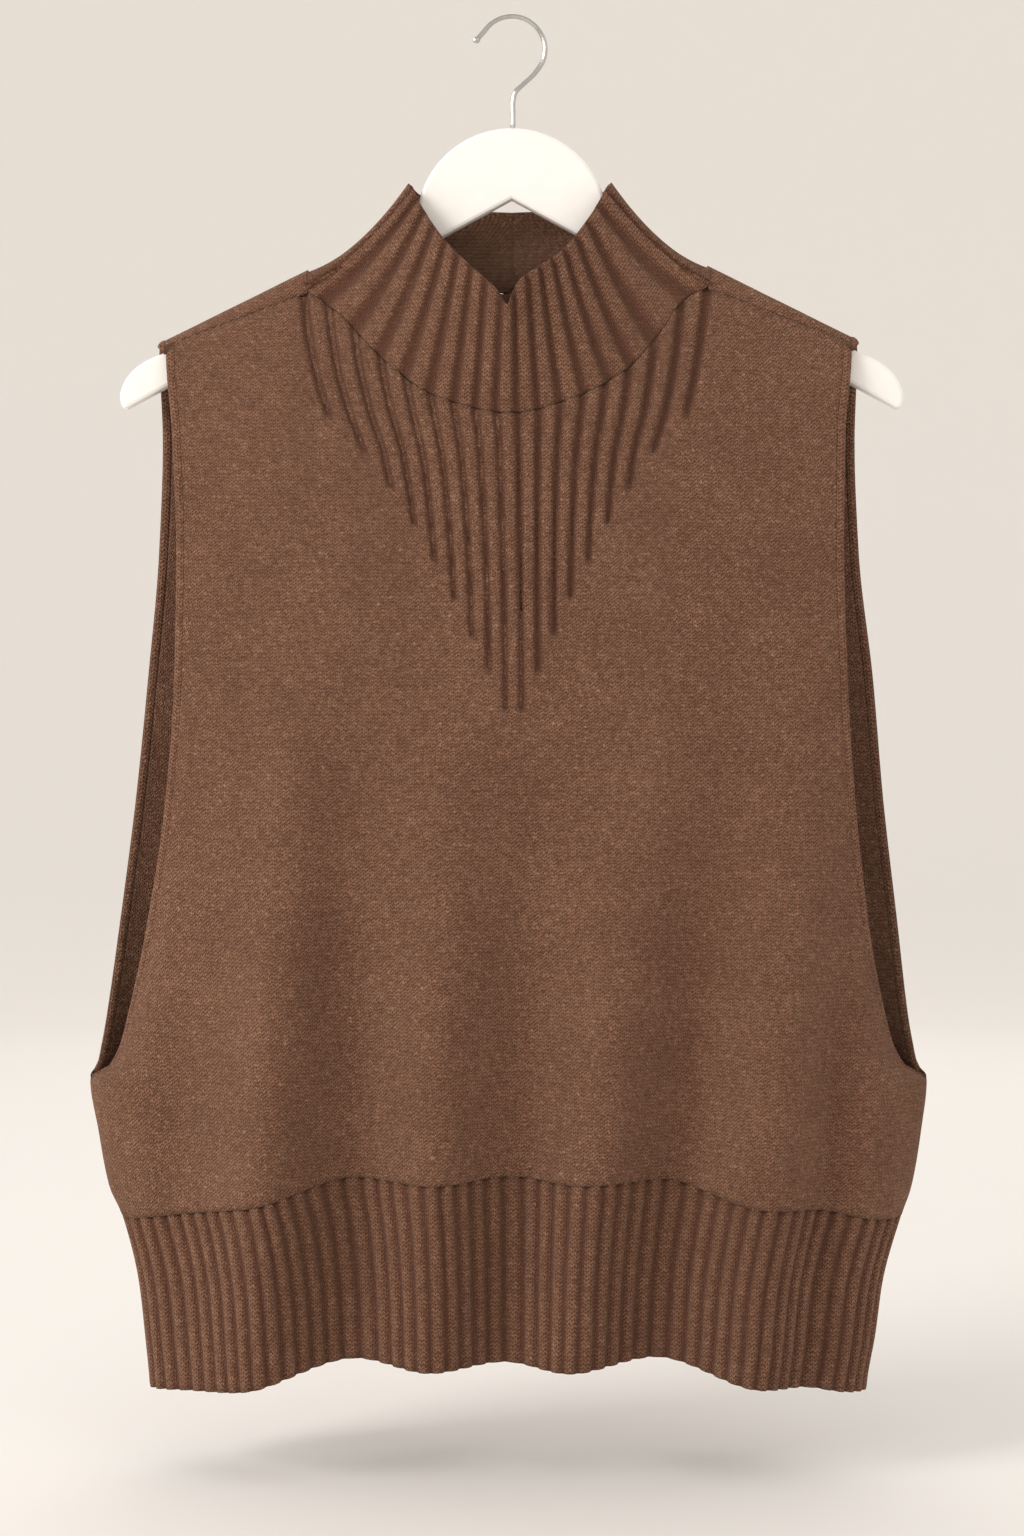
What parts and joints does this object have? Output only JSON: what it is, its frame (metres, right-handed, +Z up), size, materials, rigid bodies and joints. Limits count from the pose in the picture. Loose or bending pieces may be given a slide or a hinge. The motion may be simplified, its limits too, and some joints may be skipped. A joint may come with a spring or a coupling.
{
  "type": "knit tank top on hanger",
  "caption": "Wide sleeveless knit top with a ribbed funnel collar, rib yoke and deep rib hem, hanging on a flat shirt hanger with a wire hook.",
  "frame": {"origin": "under the top of the hook's wire, where a rail carries the hanger", "axes": "+Z up, +Y from the front of the garment to its back, +X to the right seen from the front"},
  "size_m": [0.4717, 0.1163, 0.7743],
  "materials": {
    "knit": "brushed wool stockinette",
    "rib": "wool rib knit",
    "hanger_paint": "satin white paint on wood",
    "hook_steel": "polished steel wire"
  },
  "bodies": {
    "root": {"front_panel": "knit", "back_panel": "knit", "collar": "rib", "hem_rib_front": "rib", "hem_rib_back": "rib", "armhole_band_left": "rib", "armhole_band_right": "rib", "hanger_body": "hanger_paint", "hanger_hook": "hook_steel"}
  },
  "joints": []
}
